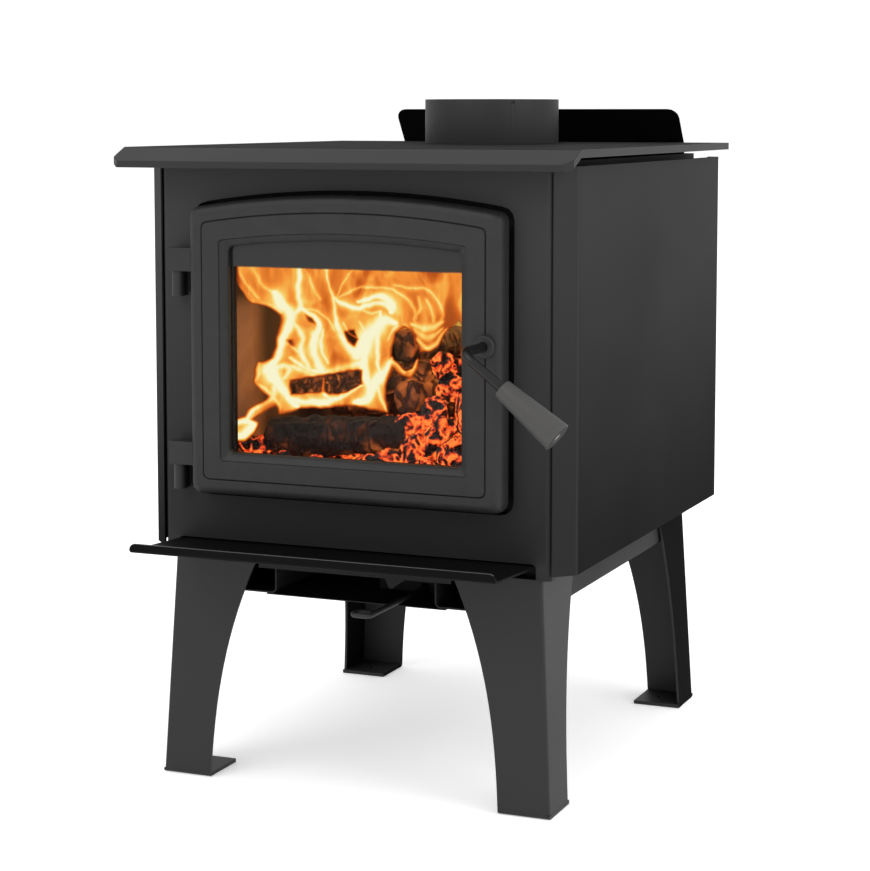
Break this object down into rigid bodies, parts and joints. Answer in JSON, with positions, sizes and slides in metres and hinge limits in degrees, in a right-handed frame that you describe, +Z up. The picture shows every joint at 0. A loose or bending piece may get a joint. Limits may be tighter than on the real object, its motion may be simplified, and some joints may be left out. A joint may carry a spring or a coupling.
{
  "type": "wood burning stove",
  "caption": "Freestanding plate-steel wood burning stove on splayed legs, with an arched glazed cast door, ash ledge, top flue collar and pull-out air control",
  "frame": {"origin": "on the floor under the middle of the bounding box, on the stove's centre plane", "axes": "+Z up, the door faces -Y, +X is to the right of someone facing the door"},
  "size_m": [0.5171, 0.6804, 0.7225],
  "materials": {
    "stove_steel": "matt high-temperature black paint, slightly grained",
    "deflector_steel": "matt high-temperature black paint in shade",
    "cast_door": "matt black paint on a fine sand-cast surface",
    "plain_steel": "plain zinc-plated steel",
    "grip_coating": "warm grey satin coating",
    "ceramic_glass": "polished, slightly smoked",
    "woven_tape": "woven glass-fibre tape",
    "rope_seal": "knitted glass-fibre rope",
    "firebrick": "rough, sooted, fire-coloured",
    "baffle_board": "pressed fibre board",
    "ceramic_wool": "soft wool blanket",
    "tube_steel": "heat-tinted stainless steel"
  },
  "bodies": {
    "stove_body": {"air_box": "stove_steel", "air_channel_left": "stove_steel", "air_channel_right": "stove_steel", "air_manifold_left": "tube_steel", "air_manifold_right": "tube_steel", "air_tube_1": "tube_steel", "air_tube_2": "tube_steel", "apron_screw_1": "plain_steel", "apron_screw_2": "plain_steel", "apron_screw_3": "plain_steel", "ash_ledge": "stove_steel", "baffle_blanket": "ceramic_wool", "baffle_board": "baffle_board", "bottom_pan": "deflector_steel", "brick_back": "firebrick", "brick_floor_front": "firebrick", "brick_floor_rear": "firebrick", "brick_left_front": "firebrick", "brick_left_rear": "firebrick", "brick_right_front": "firebrick", "brick_right_rear": "firebrick", "firebox_shell": "stove_steel", "flue_collar": "stove_steel", "front_apron": "stove_steel", "front_plate": "stove_steel", "hinge_bracket_bottom": "cast_door", "hinge_bracket_top": "cast_door", "hinge_pin_bottom": "plain_steel", "hinge_pin_top": "plain_steel", "leg_bolt_front_left": "plain_steel", "leg_bolt_front_right": "plain_steel", "leg_bolt_rear_left": "plain_steel", "leg_bolt_rear_right": "plain_steel", "leg_front_left": "stove_steel", "leg_front_right": "stove_steel", "leg_rear_left": "stove_steel", "leg_rear_right": "stove_steel", "rear_shield": "deflector_steel", "rear_spacer_left": "plain_steel", "rear_spacer_right": "plain_steel", "side_shield_left": "stove_steel", "side_shield_right": "stove_steel", "side_spacer_left": "plain_steel", "side_spacer_right": "plain_steel", "top_plate": "stove_steel"},
    "door": {"door_frame": "cast_door", "door_glass": "ceramic_glass", "glass_gasket": "woven_tape", "glass_retainer": "plain_steel", "retainer_screw_1": "plain_steel", "retainer_screw_2": "plain_steel", "door_seal": "rope_seal", "handle_boss": "cast_door"},
    "latch_handle": {"handle_shaft": "plain_steel", "handle_grip": "grip_coating", "grip_screw": "plain_steel", "latch_cam": "plain_steel", "latch_nut": "plain_steel"},
    "air_control": {"air_rod": "stove_steel", "air_shutter": "plain_steel"}
  },
  "joints": [
    {"name": "door_swing", "type": "hinge", "parent": "stove_body", "child": "door", "pos_m": [-0.193, -0.24475, 0.45], "axis": [0, 0, -1], "range_deg": [0, 110]},
    {"name": "handle_turn", "type": "hinge", "parent": "door", "child": "latch_handle", "pos_m": [0.157, -0.27275, 0.4775], "axis": [0, 1, 0], "range_deg": [0, 60]},
    {"name": "air_slide", "type": "slide", "parent": "stove_body", "child": "air_control", "axis": [0, -1, 0], "range_m": [0, 0.06]}
  ]
}
